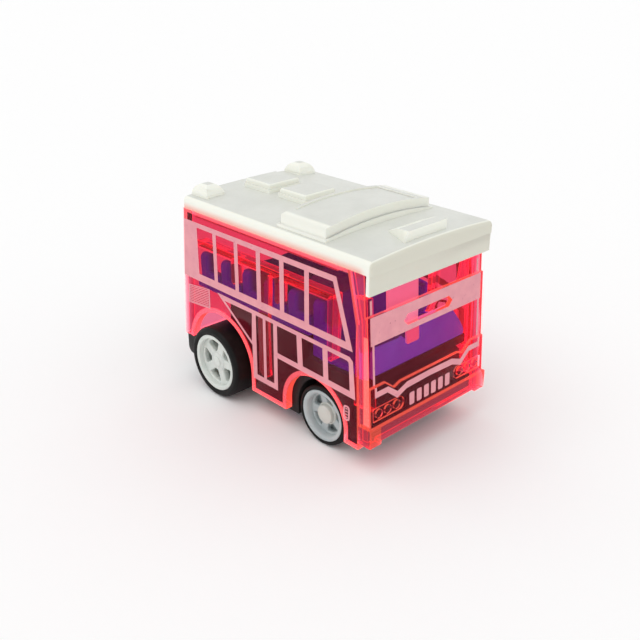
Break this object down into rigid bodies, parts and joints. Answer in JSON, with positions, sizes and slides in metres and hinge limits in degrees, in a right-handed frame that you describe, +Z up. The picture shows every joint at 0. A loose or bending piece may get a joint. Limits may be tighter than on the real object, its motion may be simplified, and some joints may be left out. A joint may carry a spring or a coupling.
{
  "type": "toy bus",
  "caption": "Small pull-back toy bus with a clear body, a separate roof, a seat insert, turning wheels and a geared spring motor on its rear axle.",
  "frame": {"origin": "centre of the bounding box in plan, on the surface that the wheels stand on", "axes": "+Z up, front of the bus towards -Y, +X to the left-hand side of its driver"},
  "size_m": [0.037, 0.0556, 0.0443],
  "materials": {
    "clear_pink": "clear tinted",
    "roof_white": "satin",
    "seat_purple": "satin",
    "base_black": "satin",
    "hub_white": "satin",
    "tyre_black": "smooth",
    "steel": "drawn",
    "gear_white": "moulded"
  },
  "bodies": {
    "bus": {"body_shell": "clear_pink", "front_panel": "clear_pink", "roof_lid": "roof_white", "cabin_insert": "seat_purple", "chassis": "base_black", "motor_case_left": "base_black", "motor_case_right": "base_black", "mainspring": "steel", "chassis_screws": "steel"},
    "rear_wheels": {"rear_axle": "steel", "rear_hub_left": "hub_white", "rear_hub_right": "hub_white", "rear_tyre_left": "tyre_black", "rear_tyre_right": "tyre_black", "axle_pinion": "gear_white"},
    "front_wheels": {"front_axle": "steel", "front_hub_left": "hub_white", "front_hub_right": "hub_white", "front_tyre_left": "tyre_black", "front_tyre_right": "tyre_black"},
    "transfer": {"transfer_gear": "gear_white"},
    "winder": {"spring_gear": "gear_white"}
  },
  "joints": [
    {"name": "rear_axle_spin", "type": "hinge", "parent": "bus", "child": "rear_wheels", "pos_m": [0, 0.01485, 0.0076], "axis": [1, 0, 0], "continuous": true},
    {"name": "front_axle_spin", "type": "hinge", "parent": "bus", "child": "front_wheels", "pos_m": [0, -0.0138, 0.0061], "axis": [1, 0, 0], "continuous": true},
    {"name": "transfer_gear_spin", "type": "hinge", "parent": "bus", "child": "transfer", "pos_m": [0, 0.00944, 0.0112], "axis": [1, 0, 0], "continuous": true},
    {"name": "spring_gear_spin", "type": "hinge", "parent": "bus", "child": "winder", "pos_m": [0, 0.00254, 0.0112], "axis": [1, 0, 0], "continuous": true}
  ],
  "couplings": [
    {"joint": "transfer_gear_spin", "follows": "rear_axle_spin", "ratio": -0.45455},
    {"joint": "spring_gear_spin", "follows": "rear_axle_spin", "ratio": 0.18939}
  ]
}
